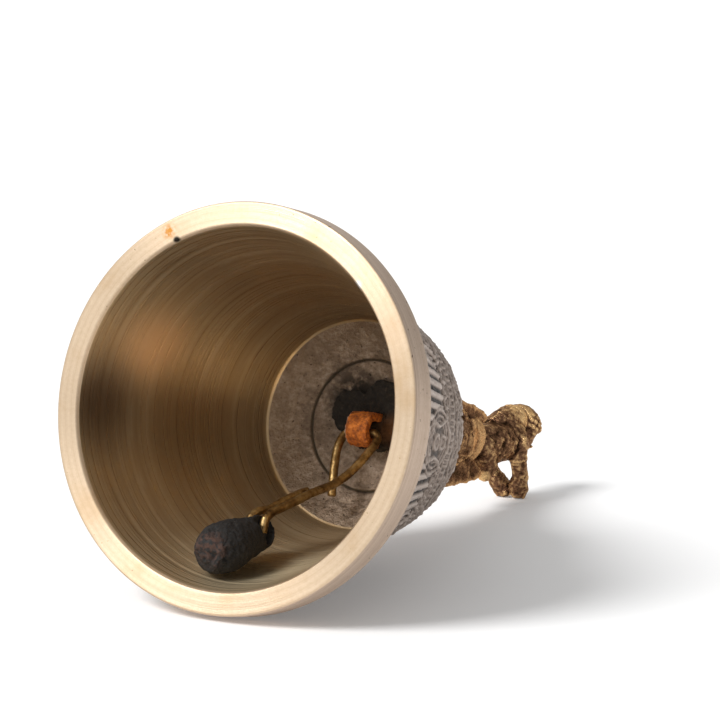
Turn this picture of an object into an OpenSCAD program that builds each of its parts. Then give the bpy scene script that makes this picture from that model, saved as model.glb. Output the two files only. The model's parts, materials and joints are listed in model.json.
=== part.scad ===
// Tibetan hand bell lying on its side, as it is put down between uses.
// Each piece is drawn upright in the bell's own axes, with z = 0 at the mouth, +Z towards the handle
// and +Y on the side that faces the table. lay_down() then places it in the part's frame.

/* [Bell] */
// Outer radius of the mouth
mouth_r = 45; // [40:0.5:50]
// Radial width of the flat lip
lip_w = 5.2; // [4:0.1:7]
// Height of the plain turned band at the lip
band_h = 7.4; // [5:0.2:10]
// Height from the mouth to the flat top of the crown
crown_h = 71.6; // [68:0.2:76]
// Radius of the flat top of the crown
crown_r = 17.6; // [17.2:0.1:19]
// Depth from the mouth to the edge of the dished ceiling
ceiling_h = 58; // [55:0.5:60]
// Radius of the dished ceiling's edge
ceiling_r = 24.9; // [23:0.1:25.2]
// Rise of the ceiling from its edge to its middle
ceiling_rise = 8; // [6:0.5:9]
// Radius of the groove turned in the ceiling
groove_r = 15.6; // [12:0.2:18]

/* [Handle] */
// Radius of the handle's foot where it stands on the crown
foot_r = 17; // [15:0.1:17]
// Height of the collar's upper edge above the mouth
collar_top = 116; // [114:0.5:117]
// Radius of the collar
collar_r = 6; // [5.6:0.1:6.4]
// Width of each of the two arched ribs
rib_w = 5; // [3.5:0.1:6]
// Radius of the figure's peg in the collar
peg_r = 2.8; // [2.2:0.1:3.2]
// Length of the peg
peg_len = 7; // [4:0.5:9]

/* [Figure] */
// Height of the middle of the head above the mouth
head_h = 147; // [144:0.5:150]
// Radius of the head
head_r = 5.4; // [4.6:0.1:6]
// Half the distance between the two hands
hand_x = 2.3; // [2:0.1:3]
// How far the hands reach in front of the bell's axis
hand_y = 11.4; // [10:0.1:13]
// Height of the hands above the mouth
hand_h = 145.5; // [142:0.5:148]
// Radius of one hand
hand_r = 2.6; // [2.2:0.1:3]

/* [Staple and clapper] */
// Width of the staple's iron strap
strap_w = 6; // [5:0.1:6.4]
// Thickness of the strap
strap_t = 2.2; // [1.6:0.1:2.6]
// Inner radius of the staple's eye
eye_r = 2; // [1.6:0.1:2.4]
// Height of the eye's middle above the mouth
eye_h = 60.4; // [58:0.2:61]
// Radius of the clapper's wire
wire_r = 1.05; // [0.8:0.05:1.3]
// Length of the clapper
clapper_len = 25; // [22:0.5:27]
// Largest radius of the clapper
clapper_r = 5.9; // [5:0.1:6.2]

/* [Hidden] */
$fn = 96;
overlap = 0.01; // bodies that are joined run into each other by this much
gap = 0.15;     // space between pieces that move past each other
chamfer = 0.4;

// How the bell lies: the far edge of the turned band and both hands touch the table
rest_h = band_h - chamfer;
hand_run = hand_h - rest_h;
hand_drop = mouth_r - hand_y;
lie_angle = acos(hand_r / norm([hand_run, hand_drop])) - atan2(hand_run, hand_drop);
head_y = -5.4; // the head leans back from the bell's axis
near_end = -(mouth_r - chamfer) * sin(lie_angle);
far_end = head_h * cos(lie_angle) - head_y * sin(lie_angle) + head_r;

// Bell outlines as [height, radius], the outer one from the band to the crown
outer_marks = [[band_h + 0.9, mouth_r - 3.4], [12, 39.3], [24, 35.6], [40, 31.4], [53, 28.3],
               [60, 26.2], [65, 23.6], [69.2, 21.6], [crown_h - 0.4, 19.4], [crown_h, crown_r]];
inner_r = mouth_r - lip_w;
wall_slope = (inner_r - ceiling_r) / ceiling_h; // the inner wall is a plain cone
ceiling_top = ceiling_h + ceiling_rise;
ceiling_marks = [[ceiling_h + 0.5, ceiling_r - 0.6], [61.8, 20.4], [64.2, groove_r],
                 [65.6, 8], [ceiling_top, 0]];

// Handle foot outlines as [height, radius]
core_marks = [[crown_h + 5, 14.4], [84, 12.2], [93, 10.2], [102, 8], [108, 6.4], [112, 5.4]];
core_wall = 1.9;
rib_marks = [[crown_h + 2.6, 15.6], [84, 14.2], [96, 12.4], [106, 11], [118, 9.2], [122.5, 7.8]];
rib_depths = [5.8, 3]; // radial thickness of the front and back ribs above their lower third
rib_free_from = 97;
rib_shift = 1.4; // both ribs sit this much towards the figure's front
rib_end_h = 122.5;
hollow_top = collar_top - peg_len - 1;
floor_t = 2.2; // thickness of the foot's bottom plate

// Staple, set a little off the bell's axis
staple_x = 0.6;
staple_y = 1;
leg_y = eye_r + strap_t / 2; // middle of each leg
slot_w = strap_w + 0.6;
slot_l = 2 * (eye_r + strap_t) + 0.6;
leg_top = crown_h + floor_t + 0.2;
clinch_len = 4.2;

// Wire: a straight crossing in the eye, with a cut end on one side and the long run on the other, as [x, y, z]
hook_y = staple_y + eye_r - wire_r - gap; // the hook hangs on the eye's lower side
hook_h = eye_h - 0.4;
hook_len = strap_w + 0.4; // straight length of the crossing
hook_x = strap_w / 2 + wire_r + 0.7;
hook_left = staple_x - hook_len / 2;
hook_right = staple_x + hook_len / 2;
cut_end = [[hook_left + 1, hook_y, hook_h], [hook_left, hook_y, hook_h],
           [staple_x - hook_x + 0.3, hook_y + 1.1, hook_h - 0.5], [staple_x - hook_x, 5.2, 57.8],
           [-3.8, 9, 56.2], [-3.2, 13.4, 55.2], [-2.7, 17.4, 54.4]];
long_run = [[hook_right - 1, hook_y, hook_h], [hook_right, hook_y, hook_h],
            [staple_x + hook_x - 0.3, hook_y + 1.1, hook_h - 0.5], [staple_x + hook_x, 4.8, 57.2],
            [4.6, 7.8, 54.6], [3.4, 11.4, 51], [1.9, 14.4, 46.6], [0.5, 17, 39], [-0.5, 19.2, 33.6],
            [-1.4, 20.9, 29.4], [-2, 22, 26.6]];

// Clapper, whose long axis runs beside the wall
clapper_x = -4.1;
clapper_y = 33.1;    // where its axis starts
clapper_h = 0.4;
clapper_lean = 14.3; // the slope of the wall
hole_at = [clapper_x, 27.4, 23.6];
web_t = 1.2; // metal left between the two slots at the hole
hole_r = wire_r + 0.2;
lug_slot = 3.6; // width of each slot beside the web
slot_swing = 1.8; // extra width on the side that the wire turns to
slot_back = 0.8;  // and on the other side
turn_x = web_t / 2 + wire_r + 0.2; // the wire's two strands pass the web at this distance
low_cross = 2 * turn_x - 1;        // straight length of the wire's lower crossing
long_end = [[clapper_x + turn_x, 23.8, 24.1], [clapper_x + turn_x, hole_at[1] - 1.2, hole_at[2] + 0.1],
            [clapper_x + low_cross / 2, hole_at[1], hole_at[2]],
            [clapper_x + low_cross / 2 - 0.5, hole_at[1], hole_at[2]]];
short_end = [[clapper_x - low_cross / 2 + 0.5, hole_at[1], hole_at[2]],
             [clapper_x - low_cross / 2, hole_at[1], hole_at[2]],
             [clapper_x - turn_x, hole_at[1] - 1.2, hole_at[2] + 0.1],
             [clapper_x - turn_x, 23.8, 24.1], [-5.5, 22.1, 26.6], [-4.7, 21.4, 30], [-3.4, 18.9, 35],
             [-1.6, 16.6, 41]];
clapper_marks = [[3.4, 3.2], [4.4, 4.2], [7, 5.4], [10, clapper_r], [14, 5.6], [18, 4.9], [22, 4.5], [25.4, 4.1],
                 [27.6, 2.8], [clapper_len + 3.4, 0]];
spill_t = 1.1; // thickness of the solder spilt on the ceiling

// Faceting of the bent wire and of the figure's limbs
tube_sides = 10;
limb_fn = 20;
across = [0, 0.8, 0.6]; // no stretch of the wire runs this way

// A smooth line through marks, with steps points between each two
function smooth(marks, steps = 5) =
    [for (i = [0 : len(marks) - 2], k = [0 : steps - 1])
        let (a = marks[max(i - 1, 0)], b = marks[i], c = marks[i + 1], d = marks[min(i + 2, len(marks) - 1)],
             t = k / steps)
        0.5 * (2 * b + (c - a) * t + (2 * a - 5 * b + 4 * c - d) * t * t + (3 * b - a - 3 * c + d) * t * t * t),
     marks[len(marks) - 1]];

// Turns [height, radius] pairs into polygon points
function turned(line) = [for (p = line) [p[1], p[0]]];

function reversed(line) = [for (i = [len(line) - 1 : -1 : 0]) line[i]];

module lay_down() {
    translate([0, -(near_end + far_end) / 2, mouth_r * cos(lie_angle) + rest_h * sin(lie_angle)])
        rotate([-(90 + lie_angle), 0, 0])
            children();
}

function unit(v) = v / norm(v);

// A ring of points round a path that runs along way
function ring(at, way, r) =
    let (u = unit(cross(way, across)), v = cross(unit(way), u))
    [for (k = [0 : tube_sides - 1])
        at + r * (cos(k * 360 / tube_sides) * u + sin(k * 360 / tube_sides) * v)];

// Round wire along a path of points
module tube(path, r) {
    last = len(path) - 1;
    n = tube_sides;
    polyhedron(
        points = [for (i = [0 : last], p = ring(path[i], path[min(i + 1, last)] - path[max(i - 1, 0)], r)) p],
        faces = concat(
            [[for (k = [0 : n - 1]) k]],
            [for (i = [0 : last - 1], k = [0 : n - 1])
                [i * n + k, (i + 1) * n + k, (i + 1) * n + (k + 1) % n, i * n + (k + 1) % n]],
            [[for (k = [n - 1 : -1 : 0]) last * n + k]]));
}

// A limb that tapers from ball to ball, each given as [place, radius]
module limb(balls) {
    for (i = [0 : len(balls) - 2])
        hull()
            for (b = [balls[i], balls[i + 1]])
                translate(b[0])
                    sphere(r = b[1], $fn = limb_fn);
}

module mirrored() {
    children();
    mirror([1, 0, 0])
        children();
}

module bell_section() {
    polygon(concat(
        [[inner_r + chamfer, 0], [mouth_r - chamfer, 0], [mouth_r, chamfer], [mouth_r, band_h - chamfer],
         [mouth_r - chamfer, band_h], [mouth_r - 2.6, band_h + 0.2]],
        turned(smooth(outer_marks, 3)),
        [[0, crown_h]],
        turned(reversed(smooth(ceiling_marks, 3))),
        [[ceiling_r, ceiling_h], [inner_r - wall_slope * chamfer, chamfer]]));
}

module bell_body() {
    color("tan")
        lay_down()
            difference() {
                rotate_extrude()
                    bell_section();
                rotate_extrude()
                    translate([groove_r, 64.1])
                        circle(r = 0.45, $fn = 24);
                staple_slot(ceiling_h, crown_h + 1);
            }
}

// The slot for the staple's legs, from one height to another
module staple_slot(from, to) {
    translate([staple_x - slot_w / 2, staple_y - slot_l / 2, from])
        cube([slot_w, slot_l, to - from]);
}

// The foot's hollow core with its base ring and collar
module foot_core() {
    rotate_extrude()
        polygon(concat(
            [[0, crown_h], [foot_r - chamfer, crown_h], [foot_r, crown_h + chamfer],
             [foot_r, crown_h + 2.6], [foot_r - 1.4, crown_h + 3.4]],
            turned(smooth(core_marks, 3)),
            [[collar_r - 0.8, collar_top - 3.4], [collar_r, collar_top - 2.6], [collar_r, collar_top - 0.8],
             [collar_r - 0.8, collar_top], [0, collar_top]]));
}

module foot_hollow() {
    rotate_extrude()
        polygon(concat(
            [[0, crown_h + floor_t], [core_marks[0][1] - core_wall, crown_h + floor_t]],
            [for (m = core_marks) [m[1] - core_wall, min(m[0], hollow_top)]],
            [[0, hollow_top]]));
}

// One arched rib, ending beside the figure's seat; the back one is free of the core above its lower third
module rib(depth) {
    line = smooth(rib_marks, 3);
    rotate([90, 0, 0])
        translate([0, 0, -rib_w / 2])
            linear_extrude(height = rib_w)
                polygon(concat(
                    [[9, crown_h + 2]],
                    turned(line),
                    [[6.6, rib_end_h], [5.6, rib_end_h - 1]],
                    [for (m = reversed(line)) if (m[0] > rib_free_from && m[0] < rib_end_h - 4)
                        [m[1] - depth, m[0] - 0.6]],
                    [[8, rib_free_from - 3]]));
}

module handle_foot() {
    color("peru")
        lay_down()
            difference() {
                union() {
                    foot_core();
                    for (side = [0, 1])
                        translate([0, rib_shift, 0])
                            rotate([0, 0, 90 + 180 * side])
                                rib(rib_depths[side]);
                }
                foot_hollow();
                staple_slot(crown_h - 1, crown_h + floor_t + 1);
                translate([0, 0, hollow_top - 0.2])
                    cylinder(r = peg_r, h = peg_len + 2);
                for (turn = [45 : 90 : 315])
                    rotate([0, 0, turn])
                        foot_opening();
            }
}

// Window through the core, made of two drilled holes that run together
module foot_opening() {
    for (h = [86, 90])
        translate([0, 0, h])
            rotate([0, 90, 0])
                cylinder(r = 3, h = foot_r);
}

module handle_figure() {
    color("goldenrod")
        lay_down() {
            translate([0, 0, collar_top - peg_len])
                cylinder(r = peg_r - gap / 3, h = peg_len + 3, $fn = limb_fn);
            limb([[[0, 0.8, 120], 4], [[0, 1.2, 127.6], 5.8], [[0, -1.6, 138.4], 6]]);
            limb([[[0, -3.6, 132.6], 3.4], [[0, -5.8, 141.6], 4.5]]);
            limb([[[0, head_y, head_h], head_r], [[0, head_y + 3.2, head_h + 0.4], 3.8]]);
            mirrored() {
                limb([[[2, 1.6, 122.4], 3.4], [[1.8, 6.6, 127], 2.6]]);
                limb([[[4.4, -0.6, 137.4], 2.9], [[4.3, 3.6, 139.2], 2.2], [[4.2, 7.4, 141.8], 2],
                      [[hand_x, hand_y, hand_h], hand_r]]);
            }
        }
}

// Outline of the strap: a long loop, open at the top
module strap_loop(r) {
    translate([staple_y, eye_h])
        circle(r = r);
    translate([staple_y - r, eye_h])
        square([2 * r, leg_top + strap_t - eye_h]);
}

// Strap bent round the eye, with its two legs clinched over on the foot's bottom plate
module clapper_staple() {
    color("chocolate")
        lay_down()
            translate([staple_x - strap_w / 2, 0, 0])
                rotate([90, 0, 90])
                    linear_extrude(height = strap_w) {
                        difference() {
                            strap_loop(eye_r + strap_t);
                            strap_loop(eye_r);
                            translate([staple_y - eye_r, leg_top])
                                square([2 * eye_r, 2 * strap_t]);
                        }
                        translate([staple_y + eye_r + overlap, leg_top])
                            square([strap_t + clinch_len, strap_t]);
                        translate([staple_y - eye_r - overlap - strap_t - clinch_len, leg_top])
                            square([strap_t + clinch_len, strap_t]);
                    }
}

// Metal run into the slot round the legs, with its spill on the ceiling
module crown_solder() {
    dish = [for (m = smooth(ceiling_marks, 3)) if (m[1] < 15.5) m];
    color("dimgray")
        lay_down()
            difference() {
                union() {
                    staple_slot_fill();
                    intersection() {
                        rotate_extrude()
                            polygon(concat([for (m = reversed(dish)) [m[1], m[0] - spill_t]], turned(dish)));
                        for (c = [[0.6, -0.5, 6.2], [-5.2, -3, 5.2], [2.5, -6, 5.2], [5, 0.5, 4.6]])
                            translate([c[0], c[1], ceiling_h])
                                cylinder(r = c[2], h = 12);
                    }
                }
                for (side = [-1, 1])
                    translate([staple_x - strap_w / 2, staple_y + side * leg_y - strap_t / 2, ceiling_h])
                        cube([strap_w, strap_t, 20]);
                translate([staple_x - strap_w, staple_y - eye_r, ceiling_h])
                    cube([2 * strap_w, 2 * eye_r, 4.4]);
            }
}

module staple_slot_fill() {
    translate([staple_x - slot_w / 2 + 0.05, staple_y - slot_l / 2 + 0.05, ceiling_h + 5.4])
        cube([slot_w - 0.1, slot_l - 0.1, crown_h - ceiling_h - 5.9]);
}

module clapper_wire() {
    color("darkgoldenrod")
        lay_down() {
            translate([staple_x, hook_y, hook_h])
                rotate([0, 90, 0])
                    cylinder(r = wire_r, h = hook_len, center = true);
            translate(hole_at)
                rotate([0, 90, 0])
                    cylinder(r = wire_r, h = low_cross, center = true);
            tube(smooth(cut_end, 4), wire_r - overlap);
            tube(smooth(concat(long_run, long_end), 4), wire_r - overlap);
            tube(smooth(short_end, 4), wire_r - overlap);
        }
}

// The clapper's axis leans so that it lies along the cone of the wall
module clapper() {
    color("#2b2b2b")
        lay_down()
            difference() {
                translate([clapper_x, clapper_y, clapper_h])
                    rotate([clapper_lean, 0, 0])
                        difference() {
                            rotate_extrude()
                                polygon(concat([[0, clapper_marks[0][0]]], turned(smooth(clapper_marks, 3))));
                            translate([-6, -6.4, -1.4])
                                rotate([14, 10, 0])
                                    cube([14, 14, 4]);
                        }
                translate(hole_at)
                    rotate([0, 90, 0])
                        cylinder(r = hole_r, h = 20, center = true);
                for (side = [-1, 1])
                    translate([hole_at[0] + side * (web_t / 2 + 4), hole_at[1], hole_at[2]]) {
                        rotate([0, 90, 0])
                            cylinder(r = lug_slot / 2, h = 8, center = true);
                        translate([-4, -8, -lug_slot / 2 - slot_swing])
                            cube([8, 7.2, lug_slot + slot_swing + slot_back]);
                    }
            }
}

bell_body();
handle_foot();
handle_figure();
clapper_staple();
crown_solder();
clapper_wire();
clapper();
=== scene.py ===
import json
import math

import bmesh
import bpy
import numpy as np
from mathutils import Matrix, Vector, noise


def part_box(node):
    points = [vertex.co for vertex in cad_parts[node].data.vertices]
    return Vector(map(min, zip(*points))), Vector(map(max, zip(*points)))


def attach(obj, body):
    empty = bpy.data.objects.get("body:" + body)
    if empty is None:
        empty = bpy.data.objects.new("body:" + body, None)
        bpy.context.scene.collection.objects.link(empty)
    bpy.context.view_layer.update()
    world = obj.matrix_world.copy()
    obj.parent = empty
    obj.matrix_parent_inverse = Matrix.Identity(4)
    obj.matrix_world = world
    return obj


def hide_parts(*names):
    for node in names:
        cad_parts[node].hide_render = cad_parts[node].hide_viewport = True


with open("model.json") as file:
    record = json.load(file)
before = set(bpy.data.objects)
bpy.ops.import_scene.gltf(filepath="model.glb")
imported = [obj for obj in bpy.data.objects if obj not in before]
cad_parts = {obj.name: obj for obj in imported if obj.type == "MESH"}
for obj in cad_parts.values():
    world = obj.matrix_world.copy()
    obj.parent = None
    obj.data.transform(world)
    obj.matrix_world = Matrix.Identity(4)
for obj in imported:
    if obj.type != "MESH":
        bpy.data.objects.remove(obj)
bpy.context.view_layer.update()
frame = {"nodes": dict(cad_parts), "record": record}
print("frame loaded")

# The bell's own axes: x across, y towards the table, s from the mouth to the handle, all in mm
lip = next(m for m in frame["record"]["mounts"] if m["name"] == "mouth_lip")
handleWay = -Vector(lip["axis"])
tableWay = handleWay.cross(Vector((1, 0, 0)))
lipMiddleRadius = 0.0424
mouthMiddle = Vector(lip["pos_m"]) + tableWay * lipMiddleRadius
turnToFrame = np.array([(1, 0, 0), tableWay, handleWay], float).T


def toFrame(points):
    return np.asarray(points, float) @ (turnToFrame.T / 1000) + np.array(mouthMiddle)


def toBell(points):
    return (np.asarray(points, float) - np.array(mouthMiddle)) @ turnToFrame * 1000


bellMatrix = Matrix.Translation(mouthMiddle) @ Matrix(turnToFrame.tolist()).to_4x4() @ Matrix.Scale(0.001, 4)


def freshMaterial(name, **settings):
    material = bpy.data.materials.new(name)
    material.use_nodes = True
    shader = material.node_tree.nodes["Principled BSDF"]
    for socket, value in settings.items():
        shader.inputs[socket.replace("_", " ")].default_value = value
    return material, material.node_tree, shader


def put(tree, kind, sockets=(), **settings):
    made = tree.nodes.new(kind)
    for key, value in settings.items():
        setattr(made, key, value)
    for socket, value in dict(sockets).items():
        if isinstance(value, bpy.types.NodeSocket):
            tree.links.new(value, made.inputs[socket])
        else:
            made.inputs[socket].default_value = value
    return made


def maths(tree, operation, *values):
    return put(tree, "ShaderNodeMath", dict(enumerate(values)), operation=operation).outputs[0]


def remap(tree, value, low, high, newLow=0.0, newHigh=1.0):
    sockets = {"Value": value, "From Min": low, "From Max": high, "To Min": newLow, "To Max": newHigh}
    return put(tree, "ShaderNodeMapRange", sockets, interpolation_type="SMOOTHSTEP").outputs[0]


def blendColour(tree, amount, first, second):
    return put(tree, "ShaderNodeMix", {0: amount, 6: first, 7: second}, data_type="RGBA").outputs[2]


def colourRamp(tree, value, *stops):
    ramp = put(tree, "ShaderNodeValToRGB", {"Fac": value})
    elements = ramp.color_ramp.elements
    while len(elements) < len(stops):
        elements.new(0.5)
    for element, (place, colour) in zip(elements, stops):
        element.position = place
        element.color = (*colour, 1)
    return ramp.outputs["Color"]


def grain(tree, vector, scale, detail=3.0, roughness=0.6):
    sockets = {"Vector": vector, "Scale": scale, "Detail": detail, "Roughness": roughness}
    return put(tree, "ShaderNodeTexNoise", sockets).outputs[0]


def bellCoordinates(tree):
    # Object coordinates turned into the bell's own axes, in mm
    place = -np.array(mouthMiddle) @ turnToFrame * 1000
    turn = math.atan2(-turnToFrame[2, 1], turnToFrame[1, 1])
    coordinates = put(tree, "ShaderNodeTexCoord").outputs["Object"]
    turned = put(tree, "ShaderNodeMapping", {"Vector": coordinates, "Location": place.tolist(),
                                             "Rotation": (turn, 0, 0), "Scale": (1000, 1000, 1000)})
    vector = turned.outputs[0]
    parts = put(tree, "ShaderNodeSeparateXYZ", {0: vector})
    x, y, s = parts.outputs[0], parts.outputs[1], parts.outputs[2]
    squares = maths(tree, "ADD", maths(tree, "MULTIPLY", x, x), maths(tree, "MULTIPLY", y, y))
    radius = maths(tree, "SQRT", squares)
    return vector, radius, s


def turnedLines(tree, radius, s, fineness, vector=None, waver=0.0):
    # Rings cut by a lathe tool: noise that changes only with radius and height
    if vector is not None:
        radius = maths(tree, "ADD", radius, maths(tree, "MULTIPLY", grain(tree, vector, 0.05), waver))
    rings = put(tree, "ShaderNodeCombineXYZ", {0: radius, 1: 0.0, 2: s}).outputs[0]
    return grain(tree, rings, fineness, 4.0, 0.7)


def near(tree, vector, place, inner, outer):
    distance = put(tree, "ShaderNodeVectorMath", {0: vector, 1: place}, operation="DISTANCE").outputs["Value"]
    return remap(tree, distance, inner, outer, 1.0, 0.0)


# Per-point value for painted shade in hollows and painted light on raised parts, which on the handle also
# stands for wear
def shadeAndWearValue(tree):
    return put(tree, "ShaderNodeAttribute", attribute_name="shadeAndWear").outputs["Fac"]


def bumpTo(tree, shader, height, distance, strength=1.0):
    bump = put(tree, "ShaderNodeBump", {"Height": height, "Distance": distance, "Strength": strength})
    tree.links.new(bump.outputs[0], shader.inputs["Normal"])


def colourTo(tree, shader, colour):
    tree.links.new(colour, shader.inputs["Base Color"])


def brushedAlongRings(tree, shader, amount):
    # The tool's grooves run round the bell, so a highlight stretches across them, along the outline
    across = put(tree, "ShaderNodeTangent", direction_type="UV_MAP", uv_map="turned")
    tree.links.new(across.outputs[0], shader.inputs["Tangent"])
    shader.inputs["Anisotropic"].default_value = amount


def roughnessTo(tree, shader, value, low, high):
    tree.links.new(remap(tree, value, 0.25, 0.75, low, high), shader.inputs["Roughness"])


def lipBrass():
    material, tree, shader = freshMaterial("lipBrass", Metallic=1.0, Roughness=0.3)
    vector, radius, s = bellCoordinates(tree)
    rings = turnedLines(tree, radius, s, 1.3, vector, 1.0)
    fineRings = turnedLines(tree, radius, s, 6.0)
    colour = colourRamp(tree, rings, (0.25, (0.60, 0.45, 0.30)), (0.5, (0.68, 0.53, 0.375)),
                        (0.8, (0.76, 0.62, 0.46)))
    stains = remap(tree, grain(tree, vector, 0.07, 5.0), 0.48, 0.7, 0.0, 0.6)
    colour = blendColour(tree, stains, colour, (0.58, 0.40, 0.23, 1))
    mottle = remap(tree, grain(tree, vector, 1.1, 6.0, 0.8), 0.35, 0.7, 0.0, 0.35)
    colour = blendColour(tree, mottle, colour, (0.50, 0.35, 0.22, 1))
    pits = remap(tree, grain(tree, vector, 1.4, 2.0), 0.7, 0.78)
    colour = blendColour(tree, pits, colour, (0.25, 0.15, 0.07, 1))
    spot = maths(tree, "MULTIPLY", near(tree, vector, (-20.6, -37.2, 0.0), 0.5, 2.4),
                 remap(tree, grain(tree, vector, 0.9), 0.35, 0.6))
    colour = blendColour(tree, spot, colour, (0.55, 0.24, 0.05, 1))
    # Painted glint: a small near-white highlight painted on the inner edge of the lip, upper right
    paintedGlint = near(tree, vector, (27.7, -28.4, 0.4), 0.5, 1.6)
    colour = blendColour(tree, paintedGlint, colour, (0.72, 0.70, 0.68, 1))
    nick = near(tree, vector, (-18.4, -35.4, 0.0), 0.5, 1.2)
    colour = blendColour(tree, nick, colour, (0.03, 0.025, 0.02, 1))
    colourTo(tree, shader, colour)
    roughnessTo(tree, shader, fineRings, 0.3, 0.5)
    bumpTo(tree, shader, maths(tree, "SUBTRACT", fineRings, pits), 0.0002, 0.4)
    brushedAlongRings(tree, shader, 0.5)
    return material


def innerWall():
    material, tree, shader = freshMaterial("innerWall", Metallic=1.0, Roughness=0.36)
    vector, radius, s = bellCoordinates(tree)
    rings = turnedLines(tree, radius, s, 0.45, vector, 3.0)
    fineRings = turnedLines(tree, radius, s, 3.0)
    colour = colourRamp(tree, rings, (0.25, (0.33, 0.225, 0.125)), (0.5, (0.43, 0.315, 0.185)),
                        (0.75, (0.54, 0.42, 0.265)))
    clouds = remap(tree, grain(tree, vector, 0.05, 4.0), 0.42, 0.68, 0.0, 0.55)
    colour = blendColour(tree, clouds, colour, (0.40, 0.27, 0.14, 1))
    # Painted light on the inner wall: a painted orange sheen high on the left, a painted darker reflection
    # deeper on the left and a painted bright highlight on the bottom wall
    for place, size, tint in (((-34.0, -13.0, 18.0), 15.0, (0.66, 0.41, 0.22, 1)),
                              ((-31.0, 4.0, 32.0), 21.0, (0.30, 0.19, 0.09, 1)),
                              ((4.0, 34.0, 20.0), 26.0, (0.97, 0.84, 0.58, 1))):
        paintedReflection = maths(tree, "MULTIPLY", near(tree, vector, place, 1.0, size), 0.75)
        colour = blendColour(tree, paintedReflection, colour, tint)
    # Painted dark reflection: the left wall near the mouth painted almost black, standing in for the dark
    # room it reflects
    tarnishAndDarkReflection = maths(tree, "MULTIPLY", near(tree, vector, (-38.0, 1.0, 6.0), 2.0, 17.0), 0.85)
    colour = blendColour(tree, tarnishAndDarkReflection, colour, (0.13, 0.085, 0.05, 1))
    scuffs = remap(tree, grain(tree, vector, 0.8, 5.0, 0.8), 0.62, 0.72, 0.0, 0.4)
    colour = blendColour(tree, scuffs, colour, (0.12, 0.075, 0.04, 1))
    colourTo(tree, shader, colour)
    roughnessTo(tree, shader, fineRings, 0.22, 0.42)
    bumpTo(tree, shader, fineRings, 0.0003, 0.4)
    brushedAlongRings(tree, shader, 0.85)
    return material


def ceilingCast():
    material, tree, shader = freshMaterial("ceilingCast", Metallic=0.9, Roughness=0.5)
    vector, radius, _ = bellCoordinates(tree)
    cast = grain(tree, vector, 0.7, 6.0, 0.7)
    colour = colourRamp(tree, cast, (0.3, (0.15, 0.11, 0.085)), (0.5, (0.36, 0.28, 0.215)),
                        (0.72, (0.62, 0.51, 0.41)))
    patches = remap(tree, grain(tree, vector, 0.16, 5.0, 0.7), 0.42, 0.62, 0.0, 0.6)
    colour = blendColour(tree, patches, colour, (0.15, 0.11, 0.08, 1))
    colour = blendColour(tree, remap(tree, radius, 15.0, 25.0, 0.0, 0.35), colour, (0.36, 0.26, 0.17, 1))
    specks = remap(tree, grain(tree, vector, 1.5, 2.0), 0.66, 0.74)
    colour = blendColour(tree, specks, colour, (0.05, 0.04, 0.03, 1))
    groove = near(tree, put(tree, "ShaderNodeCombineXYZ", {0: radius}).outputs[0], (15.6, 0, 0), 0.1, 0.5)
    colour = blendColour(tree, groove, colour, (0.10, 0.08, 0.055, 1))
    soot = maths(tree, "MULTIPLY", near(tree, vector, (-4.5, -5.5, 64.5), 3.5, 11.0),
                 remap(tree, grain(tree, vector, 0.4), 0.3, 0.55))
    colour = blendColour(tree, soot, colour, (0.035, 0.03, 0.026, 1))
    stain = maths(tree, "MULTIPLY", near(tree, vector, (8.0, 1.0, 64.5), 2.0, 8.0), 0.7)
    colour = blendColour(tree, stain, colour, (0.22, 0.10, 0.035, 1))
    colourTo(tree, shader, colour)
    roughnessTo(tree, shader, cast, 0.36, 0.6)
    bumpTo(tree, shader, maths(tree, "SUBTRACT", cast, maths(tree, "MULTIPLY", specks, 0.4)), 0.0007, 0.9)
    return material


def outerCast():
    material, tree, shader = freshMaterial("outerCast", Metallic=0.75, Roughness=0.5)
    vector, radius, s = bellCoordinates(tree)
    fine = grain(tree, vector, 1.1, 6.0, 0.75)
    fleck = maths(tree, "MULTIPLY", maths(tree, "SUBTRACT", fine, 0.5), 0.5)
    # The cast colour follows the painted shade in the ornament's crevices and the painted light on its
    # ridges, with random flecks
    shadeAndWear = maths(tree, "ADD", shadeAndWearValue(tree), fleck)
    castColour = colourRamp(tree, shadeAndWear, (0.10, (0.030, 0.021, 0.015)), (0.30, (0.16, 0.120, 0.095)),
                            (0.46, (0.34, 0.27, 0.225)), (0.85, (0.56, 0.47, 0.41)))
    rings = turnedLines(tree, radius, s, 2.2, vector, 0.6)
    bandColour = colourRamp(tree, rings, (0.3, (0.44, 0.32, 0.235)), (0.5, (0.56, 0.43, 0.33)),
                            (0.72, (0.66, 0.53, 0.42)))
    pits = remap(tree, grain(tree, vector, 1.0, 2.0), 0.68, 0.76)
    bandColour = blendColour(tree, pits, bandColour, (0.12, 0.08, 0.05, 1))
    onRelief = remap(tree, s, 7.6, 9.4)
    colourTo(tree, shader, blendColour(tree, onRelief, bandColour, castColour))
    roughnessTo(tree, shader, fine, 0.4, 0.62)
    height = maths(tree, "ADD", maths(tree, "MULTIPLY", rings, 0.25), maths(tree, "MULTIPLY", fine, onRelief))
    bumpTo(tree, shader, height, 0.0004, 0.55)
    return material


bell = {"segments": 600, "reliefRows": 108, "mouthRadius": 45.0, "innerRadius": 39.8,
        "crownHeight": 71.6, "ceilingHeight": 58.0, "ceilingRadius": 24.9, "rosettes": 8,
        "firstRosette": 0.075, "flutesEach": 10, "petals": 20, "scrollWaves": 20, "reliefFrom": 9.0,
        "reliefTo": 70.8, "ceilingTop": 66.0, "unevenDepth": 0.19, "reliefSink": 0.12}
# Height and radius along the plain outside, in mm
outerMarks = [(8.3, 41.6), (12, 39.3), (24, 35.6), (40, 31.4), (53, 28.3), (60, 26.2), (65, 23.6),
              (69.2, 21.6), (71.2, 19.4), (71.6, 17.6)]


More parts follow.
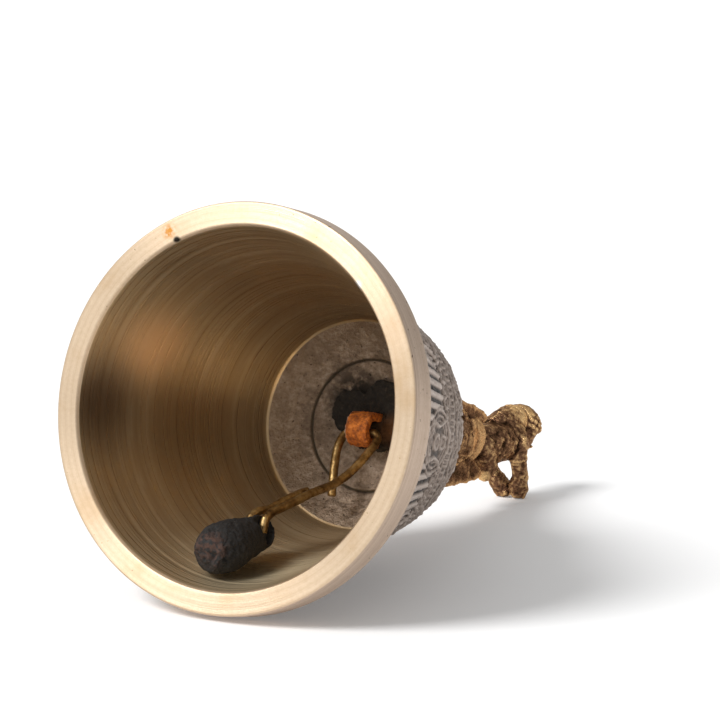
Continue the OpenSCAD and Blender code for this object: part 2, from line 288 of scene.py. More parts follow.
def smoothLine(marks, steps):
    # A line that passes evenly through every mark
    marks = np.array(marks, float)
    padded = np.vstack([marks[:1], marks, marks[-1:]])
    line = []
    for i in range(len(marks) - 1):
        a, b, c, d = padded[i:i + 4]
        for k in range(steps):
            t = k / steps
            line.append(0.5 * (2 * b + (c - a) * t + (2 * a - 5 * b + 4 * c - d) * t * t
                               + (3 * b - a - 3 * c + d) * t ** 3))
    return np.array(line + [marks[-1]])


def ease(low, high, value):
    t = np.clip((value - low) / (high - low), 0, 1)
    return t * t * (3 - 2 * t)


def ridge(distance, width):
    return np.exp(-(distance / width) ** 2)


def repeated(theta, count, shift=0.0):
    pitch = 2 * math.pi / count
    return (theta - shift + pitch / 2) % pitch - pitch / 2


def ringedBoss(u, v, wide, tall):
    e = np.hypot(u / wide, v / tall)
    return 0.5 * ridge(e - 1, 0.24) + 0.45 * ridge(e, 0.45)


def curl(u, v, size):
    d = np.hypot(u, v)
    arms = 0.5 + 0.5 * np.cos(2 * math.pi * d / 1.35 - np.arctan2(v, u))
    return 0.45 * arms * (1 - ease(size - 0.5, size, d))


def castRelief(theta, s, r):
    # Height of the cast ornament above the plain surface, in mm
    cell = repeated(theta, bell["rosettes"], bell["firstRosette"])
    u = cell * r
    v = s - 36.6
    high = np.zeros_like(theta)
    oval = np.hypot(u / 7.4, v / (10.6 - 1.6 * np.abs(u) / 7.4))
    inOval = 1 - ease(1.02, 1.16, oval)
    flute = np.cos(repeated(theta, bell["rosettes"] * bell["flutesEach"], bell["firstRosette"])
                   * bell["rosettes"] * bell["flutesEach"])
    fluteTop = 39.4 + 0.8 * flute
    flutes = ease(-0.45, 0.2, flute) * ease(24.6, 25.6, s) * (1 - ease(fluteTop - 0.8, fluteTop, s))
    high += 0.75 * flutes * (1 - inOval)
    rosette = 0.5 * ridge(oval - 0.99, 0.055) + 0.42 * ridge(oval - 0.8, 0.05)
    rosette = rosette + 0.3 * ridge(oval - 0.64, 0.04)
    rosette += ringedBoss(u, s - 35.8, 1.7, 2.1) + ringedBoss(u, s - 41.4, 1.5, 1.9)
    for side in (-1, 1):
        arc = 0.8 * ridge(side * u - 3.6 - 0.05 * (s - 36) ** 2, 0.4)
        rosette += curl(side * u - 3.4, s - 30.2, 2.1) + arc * ease(32, 33.5, s) * (1 - ease(43, 45, s))
    high += rosette * inOval
    for turn, place in ((0.19, 43.4), (0.30, 43.0), (-0.19, 43.4), (-0.30, 43.0)):
        high += curl((cell - turn) * r, s - place, 2.3) * (1 - inOval)
    high += curl((np.abs(cell) - math.pi / bell["rosettes"]) * r, s - 43.2, 2.3) * (1 - inOval)
    for place, size in ((12.6, 0.4), (24.3, 0.35), (46.6, 0.35), (51.3, 0.4), (57.9, 0.4), (70.4, 0.4)):
        high += 0.4 * ridge(s - place, size)
    lozenge = np.abs(repeated(theta, 28)) * r / 3.9 + np.abs(s - 18.2) / 4.6
    lozenges = 0.45 * ridge(lozenge - 0.9, 0.1) + 0.5 * ridge(lozenge, 0.35)
    high += lozenges * ease(13.2, 13.8, s) * (1 - ease(22.4, 23, s))
    wave = np.sin(theta * bell["scrollWaves"])
    inBand = ease(51.6, 52.2, s) * (1 - ease(57, 57.6, s))
    high += 0.5 * ridge(s - 54.6 - 1.3 * wave, 0.42) * inBand
    for side in (-1, 1):
        leaf = repeated(theta, bell["scrollWaves"], side * math.pi / 2 / bell["scrollWaves"])
        high += curl(leaf * r, s - 54.6 + side * 0.9, 1.5) * inBand
    petal = repeated(theta, bell["petals"])
    reach = np.clip((s - 59.2) / 10.4, 0, 1)
    across = np.abs(petal) / (math.pi / bell["petals"]) / np.sqrt(np.clip(1.02 - reach ** 2.4, 0.02, 1))
    inPetals = ease(58.8, 59.4, s) * (1 - ease(69.2, 69.8, s))
    high += (0.55 * (1 - ease(0.8, 0.98, across)) - 0.25 * ridge(across - 0.62, 0.08)
             + 0.15 * ridge(across, 0.12)) * inPetals
    return high


def unevenness(points, scale, octaves=3):
    return np.array([noise.fractal(Vector(p) * scale, 0.6, 2.0, octaves) for p in points.tolist()])


def meshObject(name, points, faces, materials):
    mesh = bpy.data.meshes.new(name)
    mesh.from_pydata(points.tolist(), [], faces)
    mesh.update()
    made = bpy.data.objects.new(name, mesh)
    bpy.context.scene.collection.objects.link(made)
    for material in materials:
        mesh.materials.append(material)
    return made


def smoothShaded(made):
    made.data.polygons.foreach_set("use_smooth", [True] * len(made.data.polygons))


def bellProfile():
    # Rows as (radius, height, material, relief row), from the ceiling's middle round the lip to the crown
    ceiling = (2, 4.5, 7, 9.5, 12, 14, 14.8, 15.15, 15.4, 15.6, 15.8, 16.05, 16.5, 18, 20, 22, 23.4, 24.2)
    marks = smoothLine([(58.5, 24.3), (61.8, 20.4), (64.2, 15.6), (65.6, 8), (66, 0)], 6)[::-1]
    rows = []
    for r in ceiling:
        h = float(np.interp(r, marks[:, 1], marks[:, 0]))
        h += 0.5 * math.exp(-((r - 15.6) / 0.22) ** 2)
        rows.append((r, h, 2, False))
    rows += [(24.55, 58.35, 1, False), (24.75, 58.1, 1, False), (24.9, 57.7, 1, False)]
    slope = (bell["innerRadius"] - bell["ceilingRadius"]) / bell["ceilingHeight"]
    for h in (56.5, 53, 48, 42, 36, 30, 24, 18, 12, 7, 3, 1.2, 0.75):
        rows.append((bell["innerRadius"] - slope * h, h, 1, False))
    rim = bell["mouthRadius"]
    rows += [(39.85, 0.45, 0, False), (40.0, 0.15, 0, False), (40.2, 0.0, 0, False), (40.3, 0.0, 0, False),
             (42.5, 0.0, 0, False), (rim - 0.6, 0.0, 0, False), (rim - 0.5, 0.0, 0, False),
             (rim - 0.15, 0.12, 0, False), (rim, 0.45, 3, False), (rim, 0.6, 3, False), (rim, 2.5, 3, False),
             (rim, 5.0, 3, False), (rim, 6.7, 3, False), (rim, 6.9, 3, False), (rim - 0.12, 7.25, 3, False),
             (rim - 0.4, 7.4, 3, False), (42.4, 7.6, 3, False)]
    outer = smoothLine(outerMarks, 12)
    for h in np.linspace(bell["reliefFrom"], bell["reliefTo"], bell["reliefRows"]):
        rows.append((float(np.interp(h, outer[:, 0], outer[:, 1])), float(h), 3, True))
    rows += [(19.0, 71.25, 3, False), (17.8, 71.55, 3, False), (16.0, 71.6, 3, False), (8.0, 71.6, 3, False)]
    return rows


def makeBellBody():
    rows = bellProfile()
    turns = bell["segments"]
    angles = np.arange(turns) * 2 * math.pi / turns
    radius = np.array([row[0] for row in rows])
    height = np.array([row[1] for row in rows])
    theta, s = np.meshgrid(angles, height)
    r = np.repeat(radius[:, None], turns, 1)
    onRelief = np.array([row[3] for row in rows])
    high = np.where(onRelief[:, None], castRelief(theta, s, r), 0.35)
    uneven = unevenness(np.stack([r * np.cos(theta), r * np.sin(theta), s], -1).reshape(-1, 3), 1.1)
    high = high + np.where(onRelief[:, None], bell["unevenDepth"] * uneven.reshape(r.shape), 0)
    lift = np.where(onRelief[:, None], high - bell["reliefSink"], 0)
    out = r + lift
    points = np.stack([out * np.cos(theta), out * np.sin(theta), s], -1).reshape(-1, 3)
    points = np.vstack([points, [(0, 0, bell["ceilingTop"]), (0, 0, bell["crownHeight"])]])
    faces = []
    picks = []
    for i in range(len(rows) - 1):
        for k in range(turns):
            n = (k + 1) % turns
            faces.append((i * turns + k, (i + 1) * turns + k, (i + 1) * turns + n, i * turns + n))
        picks += [rows[i + 1][2] if rows[i][2] != rows[i + 1][2] else rows[i][2]] * turns
    first, last = len(rows) * turns, len(rows) * turns + 1
    top = (len(rows) - 1) * turns
    for k in range(turns):
        n = (k + 1) % turns
        faces.append((first, k, n))
        faces.append((last, top + n, top + k))
        picks += [2, 3]
    coats = [lipBrass(), innerWall(), ceilingCast(), outerCast()]
    made = meshObject("bellBody", toFrame(points), faces, coats)
    made.data.polygons.foreach_set("material_index", picks)
    # Painted shade in the crevices of the cast ornament and painted light on its ridges: darker where a point
    # lies below its neighbours, lighter where it stands above them and the higher it is
    around = sum(np.roll(high, k, 1) for k in range(-5, 6)) / 11
    around = sum(around[np.clip(np.arange(len(rows)) + k, 0, len(rows) - 1)] for k in range(-3, 4)) / 7
    shade = np.clip(0.42 + 1.0 * (high - around) + 0.12 * high, 0, 1)
    shadeAndWear = made.data.attributes.new("shadeAndWear", "FLOAT", "POINT")
    shadeAndWear.data.foreach_set("value", np.append(shade.reshape(-1), [0.4, 0.4]).astype(np.float32))
    outward(made)
    path = np.append(0, np.cumsum(np.hypot(np.diff(radius), np.diff(height))))
    along = np.append(np.repeat(path / path[-1], turns), [0, 1])
    around = np.append(np.tile(angles / (2 * math.pi), len(rows)), [0, 0])
    corners = np.empty(len(made.data.loops), int)
    made.data.loops.foreach_get("vertex_index", corners)
    layer = made.data.uv_layers.new(name="turned")
    turned = np.stack([along[corners], around[corners]], -1)
    layer.data.foreach_set("uv", turned.reshape(-1).astype(np.float32))
    smoothShaded(made)
    return made


def outward(made):
    work = bmesh.new()
    work.from_mesh(made.data)
    bmesh.ops.recalc_face_normals(work, faces=work.faces)
    if work.calc_volume(signed=True) < 0:
        bmesh.ops.reverse_faces(work, faces=work.faces)
    work.to_mesh(made.data)
    work.free()


beadRows = [
    {"count": 150, "height": 10.6, "radius": 40.0, "bead": 0.62, "stretch": 1.0},
    {"count": 132, "height": 23.2, "radius": 35.85, "bead": 0.62, "stretch": 1.0},
    {"count": 120, "height": 48.9, "radius": 29.2, "bead": 0.5, "stretch": 2.6},
    {"count": 96, "height": 58.55, "radius": 26.65, "bead": 0.6, "stretch": 1.0},
]


def beadTree(material):
    tree = bpy.data.node_groups.new("beadRow", "GeometryNodeTree")
    sockets = {}
    for name, kind in (("Count", "NodeSocketInt"), ("Row radius", "NodeSocketFloat"),
                       ("Height", "NodeSocketFloat"), ("Bead radius", "NodeSocketFloat"),
                       ("Stretch", "NodeSocketFloat")):
        sockets[name] = tree.interface.new_socket(name, in_out="INPUT", socket_type=kind).identifier
    tree.interface.new_socket("Geometry", in_out="OUTPUT", socket_type="NodeSocketGeometry")
    given = tree.nodes.new("NodeGroupInput").outputs
    row = put(tree, "GeometryNodeMeshCircle", {"Vertices": given["Count"], "Radius": given["Row radius"]})
    bead = put(tree, "GeometryNodeMeshUVSphere", {"Segments": 8, "Rings": 6, "Radius": given["Bead radius"]})
    size = put(tree, "ShaderNodeCombineXYZ", {0: 1.0, 1: 1.0, 2: given["Stretch"]})
    limits = {"Min": (0.82, 0.82, 0.85), "Max": (1.1, 1.1, 1.05), "Seed": 7}
    wobble = put(tree, "FunctionNodeRandomValue", limits, data_type="FLOAT_VECTOR")
    scale = put(tree, "ShaderNodeVectorMath", {0: size.outputs[0], 1: wobble.outputs[0]},
                operation="MULTIPLY")
    beads = {"Points": row.outputs[0], "Instance": bead.outputs[0], "Scale": scale.outputs[0]}
    spread = put(tree, "GeometryNodeInstanceOnPoints", beads)
    place = put(tree, "ShaderNodeCombineXYZ", {2: given["Height"]})
    moved = put(tree, "GeometryNodeTransform",
                {"Geometry": spread.outputs[0], "Translation": place.outputs[0]})
    solid = put(tree, "GeometryNodeRealizeInstances", {0: moved.outputs[0]})
    coated = put(tree, "GeometryNodeSetMaterial", {0: solid.outputs[0], "Material": material})
    tree.links.new(coated.outputs[0], tree.nodes.new("NodeGroupOutput").inputs[0])
    return tree, sockets


def evaluatedMesh(made):
    return bpy.data.meshes.new_from_object(made.evaluated_get(bpy.context.evaluated_depsgraph_get()))


def makeBeadRows(material):
    tree, sockets = beadTree(material)
    work = bmesh.new()
    for row in beadRows:
        holder = bpy.data.objects.new("beadHolder", bpy.data.meshes.new("beadHolder"))
        bpy.context.scene.collection.objects.link(holder)
        change = holder.modifiers.new("beads", "NODES")
        change.node_group = tree
        change[sockets["Count"]] = row["count"]
        change[sockets["Row radius"]] = row["radius"]
        change[sockets["Height"]] = row["height"]
        change[sockets["Bead radius"]] = row["bead"]
        change[sockets["Stretch"]] = row["stretch"]
        work.from_mesh(evaluatedMesh(holder))
        bpy.data.objects.remove(holder)
    mesh = bpy.data.meshes.new("beadRows")
    work.to_mesh(mesh)
    work.free()
    mesh.transform(bellMatrix)
    mesh.materials.clear()
    mesh.materials.append(material)
    made = bpy.data.objects.new("beadRows", mesh)
    bpy.context.scene.collection.objects.link(made)
    shadeAndWear = mesh.attributes.new("shadeAndWear", "FLOAT", "POINT")
    shadeAndWear.data.foreach_set("value", [0.62] * len(mesh.vertices))
    smoothShaded(made)
    return made


def addBall(work, place, radii, turn=0.0):
    shape = Matrix.Translation(place) @ Matrix.Rotation(turn, 4, "X") @ Matrix.Diagonal((*radii, 1))
    bmesh.ops.create_uvsphere(work, u_segments=20, v_segments=12, radius=1, matrix=bellMatrix @ shape)


def neighbourMean(points, edges):
    total = np.zeros_like(points)
    count = np.zeros(len(points))
    for a, b in ((0, 1), (1, 0)):
        for axis in range(3):
            total[:, axis] += np.bincount(edges[:, a], points[edges[:, b], axis], len(points))
        count += np.bincount(edges[:, a], minlength=len(points))
    return total / np.maximum(count, 1)[:, None]


def readPoints(mesh):
    points = np.empty(len(mesh.vertices) * 3)
    mesh.vertices.foreach_get("co", points)
    return points.reshape(-1, 3)


def readNormals(mesh):
    normals = np.empty(len(mesh.vertices) * 3)
    mesh.vertices.foreach_get("normal", normals)
    return normals.reshape(-1, 3)


def writePoints(mesh, points):
    mesh.vertices.foreach_set("co", points.astype(np.float32).reshape(-1))
    mesh.update()


def sculpted(name, nodeName, material, voxel, balls=(), smoothing=4, work=None, cavity=14, contrast=0.42):
    source = bmesh.new()
    source.from_mesh(frame["nodes"][nodeName].data)
    bmesh.ops.remove_doubles(source, verts=source.verts, dist=1e-6)
    for ball in balls:
        addBall(source, *ball)
    mesh = bpy.data.meshes.new(name)
    source.to_mesh(mesh)
    source.free()
    rough = bpy.data.objects.new(name + "Rough", mesh)
    bpy.context.scene.collection.objects.link(rough)
    remesh = rough.modifiers.new("remesh", "REMESH")
    remesh.mode = "VOXEL"
    remesh.voxel_size = voxel / 1000
    even = rough.modifiers.new("even", "SMOOTH")
    even.factor = 0.5
    even.iterations = smoothing
    finished = evaluatedMesh(rough)
    bpy.data.objects.remove(rough)
    finished.name = name
    made = bpy.data.objects.new(name, finished)
    bpy.context.scene.collection.objects.link(made)
    points = readPoints(finished)
    if work is not None:
        points = points + readNormals(finished) * (work(toBell(points)) / 1000)[:, None]
    low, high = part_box(nodeName)
    points = np.clip(points, np.array(low), np.array(high))
    writePoints(finished, points)
    edges = np.empty(len(finished.edges) * 2, int)
    finished.edges.foreach_get("vertices", edges)
    edges = edges.reshape(-1, 2)
    # Part painted shade and part wear: points sunk below their smoothed neighbourhood turn darker, proud
    # points lighter
    flat = points
    for _ in range(cavity):
        flat = neighbourMean(flat, edges)
    proud = ((points - flat) * readNormals(finished)).sum(1) * 1000
    proud = neighbourMean(np.repeat(proud[:, None], 3, 1), edges)[:, 0]
    shadeAndWear = finished.attributes.new("shadeAndWear", "FLOAT", "POINT")
    shadeAndWear.data.foreach_set("value", np.clip(0.46 + proud / voxel * contrast, 0, 1).astype(np.float32))
    finished.materials.clear()
    finished.materials.append(material)
    smoothShaded(made)
    print(name, len(finished.polygons), "faces")
    return made


def agedBronze(name, dark, middle, bright, shine, giltAndHighlightAt):
    material, tree, shader = freshMaterial(name, Metallic=1.0, Roughness=0.4,
                                           Specular_Tint=(0.9, 0.72, 0.56, 1))
    vector, _, _ = bellCoordinates(tree)
    patches = grain(tree, vector, 0.28, 4.0)
    fine = grain(tree, vector, 1.6, 5.0, 0.7)
    drift = maths(tree, "MULTIPLY", maths(tree, "SUBTRACT", patches, 0.5), shine)
    # Darker in the hollows and lighter on proud parts, part painted shade and part wear, plus patchy random
    # tone
    worn = maths(tree, "ADD", shadeAndWearValue(tree), drift)
    worn = maths(tree, "ADD", worn, maths(tree, "MULTIPLY", maths(tree, "SUBTRACT", fine, 0.5), 0.5))
    # A lighter golden patch round the given point: on the figure it is a painted highlight where the hair
    # faces up, on the foot a plain golden patch
    giltAndHighlight = maths(tree, "MULTIPLY", near(tree, vector, giltAndHighlightAt, 2.0, 8.0), 0.4)
    worn = maths(tree, "ADD", worn, giltAndHighlight)
    colour = colourRamp(tree, worn, (0.28, dark), (0.55, middle), (0.88, bright))
    colourTo(tree, shader, colour)
    roughnessTo(tree, shader, fine, 0.16, 0.34)
    bumpTo(tree, shader, maths(tree, "ADD", fine, patches), 0.0009, 0.6)
    return material


def solderGrey():
    material, tree, shader = freshMaterial("sootySolder", Metallic=0.3, Roughness=0.8)
    vector, _, _ = bellCoordinates(tree)
    lumps = grain(tree, vector, 0.8, 6.0, 0.7)
    colour = colourRamp(tree, lumps, (0.3, (0.012, 0.010, 0.009)), (0.55, (0.04, 0.034, 0.028)),
                        (0.8, (0.13, 0.10, 0.075)))
    colour = blendColour(tree, near(tree, vector, (6.5, 0.5, 65.0), 1.0, 5.5), colour, (0.16, 0.07, 0.025, 1))
    colourTo(tree, shader, colour)
    roughnessTo(tree, shader, lumps, 0.65, 0.95)
    bumpTo(tree, shader, lumps, 0.0006, 0.8)
    return material


def rustyIron():
    material, tree, shader = freshMaterial("rustyIron", Metallic=0.15, Roughness=0.8)
    vector, _, _ = bellCoordinates(tree)
    scale = grain(tree, vector, 0.9, 6.0, 0.7)
    colour = colourRamp(tree, scale, (0.28, (0.10, 0.026, 0.008)), (0.48, (0.48, 0.13, 0.020)),
                        (0.62, (0.80, 0.25, 0.040)), (0.8, (0.85, 0.38, 0.11)))
    x = put(tree, "ShaderNodeSeparateXYZ", {0: vector}).outputs[0]
    worn = maths(tree, "MULTIPLY", remap(tree, x, -2.3, -1.9, 1.0, 0.0),
                 remap(tree, grain(tree, vector, 0.7, 3.0), 0.32, 0.5))
    colour = blendColour(tree, worn, colour, (0.40, 0.35, 0.30, 1))
    colourTo(tree, shader, colour)
    roughnessTo(tree, shader, scale, 0.6, 0.9)
    bumpTo(tree, shader, scale, 0.0005, 0.7)
    return material


def wireBrass():
    material, tree, shader = freshMaterial("wireBrass", Metallic=1.0, Roughness=0.42)
    vector, _, _ = bellCoordinates(tree)
    # On the wire this mask is real tarnish only: random darker and lighter tone
    tarnishAndDarkReflection = grain(tree, vector, 0.35, 4.0)
    fine = grain(tree, vector, 2.2, 4.0)
    colour = colourRamp(tree, tarnishAndDarkReflection, (0.32, (0.11, 0.06, 0.022)), (0.5, (0.30, 0.19, 0.075)),
                        (0.7, (0.48, 0.34, 0.16)))
    colour = blendColour(tree, remap(tree, fine, 0.58, 0.7, 0.0, 0.6), colour, (0.05, 0.03, 0.015, 1))
    colourTo(tree, shader, colour)
    roughnessTo(tree, shader, fine, 0.3, 0.55)
    bumpTo(tree, shader, fine, 0.00015, 0.4)
    return material


def clapperIron():
    material, tree, shader = freshMaterial("clapperIron", Metallic=0.2, Roughness=0.7)
    vector, _, s = bellCoordinates(tree)
    crust = grain(tree, vector, 0.9, 6.0, 0.75)
    colour = colourRamp(tree, crust, (0.3, (0.004, 0.004, 0.004)), (0.55, (0.016, 0.014, 0.013)),
                        (0.75, (0.055, 0.048, 0.044)))
    bare = maths(tree, "MULTIPLY", remap(tree, s, 6.5, 3.2),
                 remap(tree, grain(tree, vector, 0.9, 5.0), 0.4, 0.6))
    colour = blendColour(tree, maths(tree, "MULTIPLY", bare, 0.5), colour, (0.13, 0.055, 0.032, 1))
    colourTo(tree, shader, colour)
    roughnessTo(tree, shader, crust, 0.5, 0.85)
    bumpTo(tree, shader, crust, 0.0007, 0.8)
    return material


foot = {"voxel": 0.36, "curls": [(0.0, 79.5, 3.4), (0.15, 95.5, 2.8), (math.pi, 79.5, 3.4),
                                 (math.pi, 95.5, 2.8), (0.62, 78.6, 2.2), (-0.62, 78.6, 2.2),
                                 (math.pi - 0.62, 78.6, 2.2), (math.pi + 0.62, 78.6, 2.2)]
        + [(side + turn, place, size) for side in (0, math.pi)
           for turn, place, size in ((0.05, 103.5, 3.0), (0.75, 99.5, 2.3), (-0.7, 99.5, 2.3),
                                     (0.6, 107.5, 2.0), (-0.6, 107.5, 2.0))]}


def footWork(points):
    x, y, s = points.T
    theta = np.arctan2(y, x)
    r = np.hypot(x, y)
    onCore = ease(2.8, 3.4, np.abs(x)) * ease(75, 76.5, s) * (1 - ease(110, 112, s))
    high = np.zeros(len(points))
    for turn, place, size in foot["curls"]:
        around = (theta - turn + math.pi) % (2 * math.pi) - math.pi
        high += 1.7 * curl(around * r, s - place, size)
    for turn in (math.pi / 4, 3 * math.pi / 4, -math.pi / 4, -3 * math.pi / 4):
        around = ((theta - turn + math.pi) % (2 * math.pi) - math.pi) * r
        window = np.hypot(around, np.maximum(np.abs(s - 88) - 2, 0))
        high += 0.7 * ridge(window - 3.9, 0.6)
        high += 0.5 * ridge(np.abs(around) - 0.5 - 0.11 * np.abs(s - 101), 0.45) * ease(94, 96, s)
    rings = 0.35 * ridge(s - 72.9, 0.4) + 0.3 * ridge(s - 114.6, 0.5)
    return high * onCore + rings + 0.3 * unevenness(points, 0.25) + 0.07 * unevenness(points, 1.2)


figure = {"voxel": 0.24, "headMiddle": (0.0, -4.2, 147.0), "headLean": math.radians(22), "locks": 150,
          "lockSize": 0.85, "ringBeads": 26}
plainFace = [
    ((0, 2.2, -0.7), (4.0, 3.7, 4.9)), ((0, 4.6, -4.3), (1.5, 1.3, 1.2)), ((0, 5.5, 0.2), (0.5, 0.9, 1.2)),
    ((0, 6.1, -1.2), (0.75, 0.8, 0.65)), ((0.7, 5.7, -1.4), (0.45, 0.5, 0.4)),
    ((-0.7, 5.7, -1.4), (0.45, 0.5, 0.4)), ((0, 5.55, -2.55), (1.25, 0.5, 0.32)),
    ((0, 5.45, -3.05), (1.0, 0.5, 0.34)),
]
facePairs = [
    ((2.1, 1.8, -3.2), (1.9, 2.0, 1.9)), ((2.2, 4.2, -1.5), (1.4, 1.1, 1.3)),
    ((1.7, 5.2, 1.35), (1.5, 0.6, 0.4)),
    ((1.75, 5.2, 0.35), (0.95, 0.5, 0.48)), ((5.0, 0.0, -0.4), (0.6, 1.2, 1.9)),
]


def headPlace(place):
    right, front, up = place
    lean = figure["headLean"]
    middle = figure["headMiddle"]
    return (middle[0] + right, middle[1] + front * math.cos(lean) - up * math.sin(lean),
            middle[2] + front * math.sin(lean) + up * math.cos(lean))


def figureBalls():
    lean = figure["headLean"]
    balls = [(headPlace(place), radii, lean) for place, radii in plainFace]
    for (right, front, up), radii in facePairs:
        balls += [(headPlace((side * right, front, up)), radii, lean) for side in (-1, 1)]
    golden = math.pi * (3 - math.sqrt(5))
    for i in range(figure["locks"]):
        up = 1 - 2 * (i + 0.5) / figure["locks"]
        wide = math.sqrt(1 - up * up)
        right, front = wide * math.cos(i * golden), wide * math.sin(i * golden)
        if front < 0.15 + 0.5 * up and up > -0.65:
            place = headPlace((5.2 * right, 5.0 * front - 0.4, 5.0 * up + 0.3))
            balls.append((place, (figure["lockSize"],) * 3, 0.0))
    # Necklace and sash
    for i in range(figure["ringBeads"]):
        turn = 2 * math.pi * i / figure["ringBeads"]
        balls.append(((4.3 * math.cos(turn), -2.8 + 3.9 * math.sin(turn), 141.0 + 0.9 * math.sin(turn)),
                      (0.65, 0.65, 0.65), 0.0))
        balls.append(((4.75 * math.cos(turn), 1.2 + 4.6 * math.sin(turn), 127.4), (0.8, 0.8, 1.0), 0.0))
    for side in (-1, 1):
        balls.append(((side * 4.3, 3.6, 139.2), (2.5, 0.6, 2.5), 0.4))
        balls.append(((side * 3.4, 9.0, 143.4), (2.5, 0.6, 2.4), 0.7))
        balls.append(((side * 1.9, 8.4, 125.4), (1.7, 2.0, 1.4), 0.3))
        for k in range(4):
            balls.append(((side * (1.4 + 0.75 * k), 12.6 + 0.12 * k, 147.0 - 0.25 * k), (0.5, 1.3, 1.1), 0.5))
        balls.append(((side * 0.9, 12.0, 144.6), (0.6, 1.5, 0.8), -0.4))
    return balls


def figureWork(points):
    x, y, s = points.T
    drape = ease(120, 124, s) * (1 - ease(133, 138, s))
    sway = 1.1 * unevenness(points, 0.12)
    folds = 0.3 * np.sin(3.2 * np.arctan2(x, y + 1) + 0.25 * (s - 120) + sway) * drape
    head = ease(139.5, 142, s) * (1 - ease(6.0, 8.0, y))
    return folds + (0.28 - 0.24 * head) * unevenness(points, 0.35) + 0.05 * unevenness(points, 1.4)


staple = {"voxel": 0.26}


def stapleWork(points):
    return 0.25 * unevenness(points, 0.5) + 0.12 * unevenness(points, 1.5) - 0.15


solder = {"voxel": 0.3}


def solderWork(points):
    return 0.7 * unevenness(points, 0.35) + 0.25 * unevenness(points, 1.1)


wire = {"voxel": 0.2, "smoothing": 8}


def wireWork(points):
    return 0.05 * unevenness(points, 0.9) + 0.02


clapper = {"voxel": 0.3}


def clapperWork(points):
    broken = 1 - ease(5.0, 7.5, points[:, 2])
    chips = -0.7 * np.abs(unevenness(points, 0.45)) * broken
    return chips + 0.25 * unevenness(points, 0.22) + 0.16 * unevenness(points, 0.9) - 0.16


def placed(made, body, nodeName):
    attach(made, body)
    if nodeName:
        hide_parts(nodeName)


bellBody = makeBellBody()
placed(bellBody, "bell", "bell_body")
placed(makeBeadRows(bellBody.data.materials[3]), "bell", None)
print("bell made")

footBronze = agedBronze("footBronze", (0.022, 0.010, 0.006), (0.190, 0.095, 0.052), (0.72, 0.42, 0.19), 0.7,
                        (6.0, 0.0, 112.0))
figureBronze = agedBronze("figureBronze", (0.024, 0.012, 0.007), (0.220, 0.112, 0.062), (0.92, 0.60, 0.28),
                          0.7, (4.0, -10.0, 141.0))
placed(sculpted("handleFoot", "handle_foot", footBronze, foot["voxel"], work=footWork), "bell", "handle_foot")
placed(sculpted("handleFigure", "handle_figure", figureBronze, figure["voxel"], figureBalls(), 3, figureWork),
       "bell", "handle_figure")
print("handle made")

placed(sculpted("clapperStaple", "clapper_staple", rustyIron(), staple["voxel"], work=stapleWork), "bell",
       "clapper_staple")
placed(sculpted("crownSolder", "crown_solder", solderGrey(), solder["voxel"], work=solderWork), "bell",
       "crown_solder")
placed(sculpted("clapperWire", "clapper_wire", wireBrass(), wire["voxel"], work=wireWork,
                smoothing=wire["smoothing"]), "wire", "clapper_wire")
placed(sculpted("clapperBody", "clapper", clapperIron(), clapper["voxel"], work=clapperWork), "clapper",
       "clapper")
print("clapper made")

studio = {"floorSize": 12.0, "floorLift": 0.12, "keyStrength": 2.7, "keySpread": math.radians(24),
          "keyPlace": (-0.45, -0.80, 0.85), "skyStrength": 0.95, "skyOnFloor": 0.68,
          "brightWay": (-0.8755, -0.4827, 0.3)}


def makeFloor():
    half = studio["floorSize"] / 2
    corners = np.array([(-half, -half, 0), (half, -half, 0), (half, half, 0), (-half, half, 0)])
    material, _, shader = freshMaterial("paleFloor", Roughness=0.9)
    shader.inputs["Base Color"].default_value = (0.93, 0.93, 0.93, 1)
    shader.inputs["Specular IOR Level"].default_value = 0.1
    shader.inputs["Emission Color"].default_value = (1, 1, 1, 1)
    shader.inputs["Emission Strength"].default_value = studio["floorLift"]
    floor = meshObject("floor", corners, [(0, 1, 2, 3)], [material])


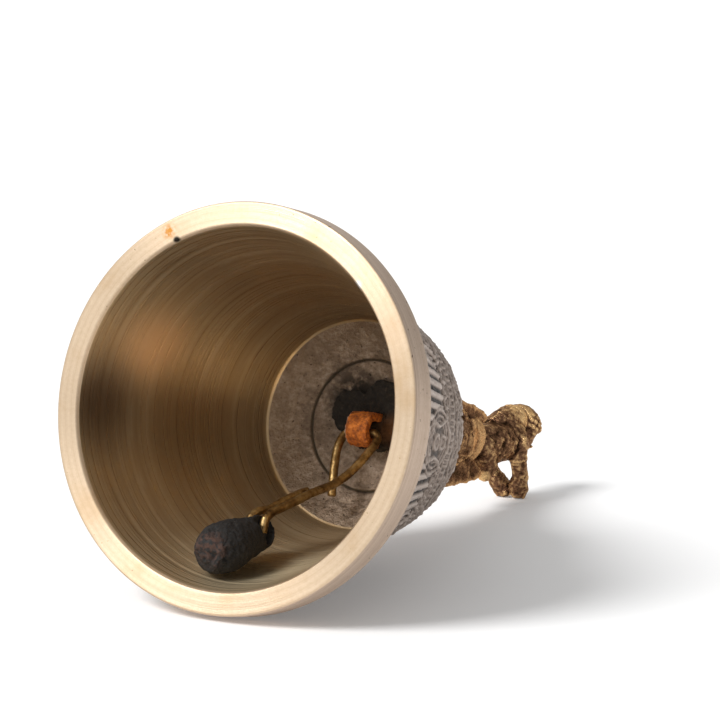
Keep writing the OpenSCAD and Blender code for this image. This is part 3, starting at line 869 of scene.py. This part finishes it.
def makeSky():
    sky = bpy.data.worlds.new("studioSky")
    bpy.context.scene.world = sky
    sky.use_nodes = True
    tree = sky.node_tree
    background = tree.nodes["Background"]
    direction = put(tree, "ShaderNodeTexCoord").outputs["Generated"]
    side = put(tree, "ShaderNodeVectorMath", {0: direction, 1: studio["brightWay"]},
               operation="DOT_PRODUCT")
    bright = remap(tree, side.outputs["Value"], -0.7, 0.8, 0.45, 1.0)
    ray = put(tree, "ShaderNodeLightPath").outputs
    onDiffuse = remap(tree, ray["Is Diffuse Ray"], 0.0, 1.0, 1.0, studio["skyOnFloor"])
    bright = maths(tree, "MULTIPLY", bright, onDiffuse)
    tint = put(tree, "ShaderNodeCombineColor", {0: bright, 1: bright, 2: bright})
    seen = blendColour(tree, ray["Is Camera Ray"], tint.outputs[0], (1.1, 1.1, 1.1, 1))
    tree.links.new(seen, background.inputs["Color"])
    background.inputs["Strength"].default_value = studio["skyStrength"]


def makeKeyLight():
    data = bpy.data.lights.new("keyLight", "SUN")
    data.energy = studio["keyStrength"]
    data.angle = studio["keySpread"]
    key = bpy.data.objects.new("keyLight", data)
    bpy.context.scene.collection.objects.link(key)
    key.location = studio["keyPlace"]
    key.rotation_euler = (-Vector(studio["keyPlace"])).to_track_quat("-Z", "Y").to_euler()


view = {"lens": 140.2, "sensor": 36.0, "place": (0.3124, -0.5790, 0.1522),
        "forward": (-0.4767, 0.8649, -0.1593), "right": (0.8755, 0.4827, 0.0033)}


def makeCamera():
    data = bpy.data.cameras.new("camera")
    data.lens = view["lens"]
    data.sensor_width = view["sensor"]
    data.clip_start = 0.01
    camera = bpy.data.objects.new("camera", data)
    bpy.context.scene.collection.objects.link(camera)
    forward = Vector(view["forward"]).normalized()
    right = Vector(view["right"])
    right = (right - forward * right.dot(forward)).normalized()
    up = right.cross(forward)
    turn = Matrix((right, up, -forward)).transposed().to_4x4()
    camera.matrix_world = Matrix.Translation(view["place"]) @ turn
    bpy.context.scene.camera = camera


makeFloor()
makeSky()
makeKeyLight()
makeCamera()
bpy.context.scene.view_settings.view_transform = "Standard"
print("studio made")
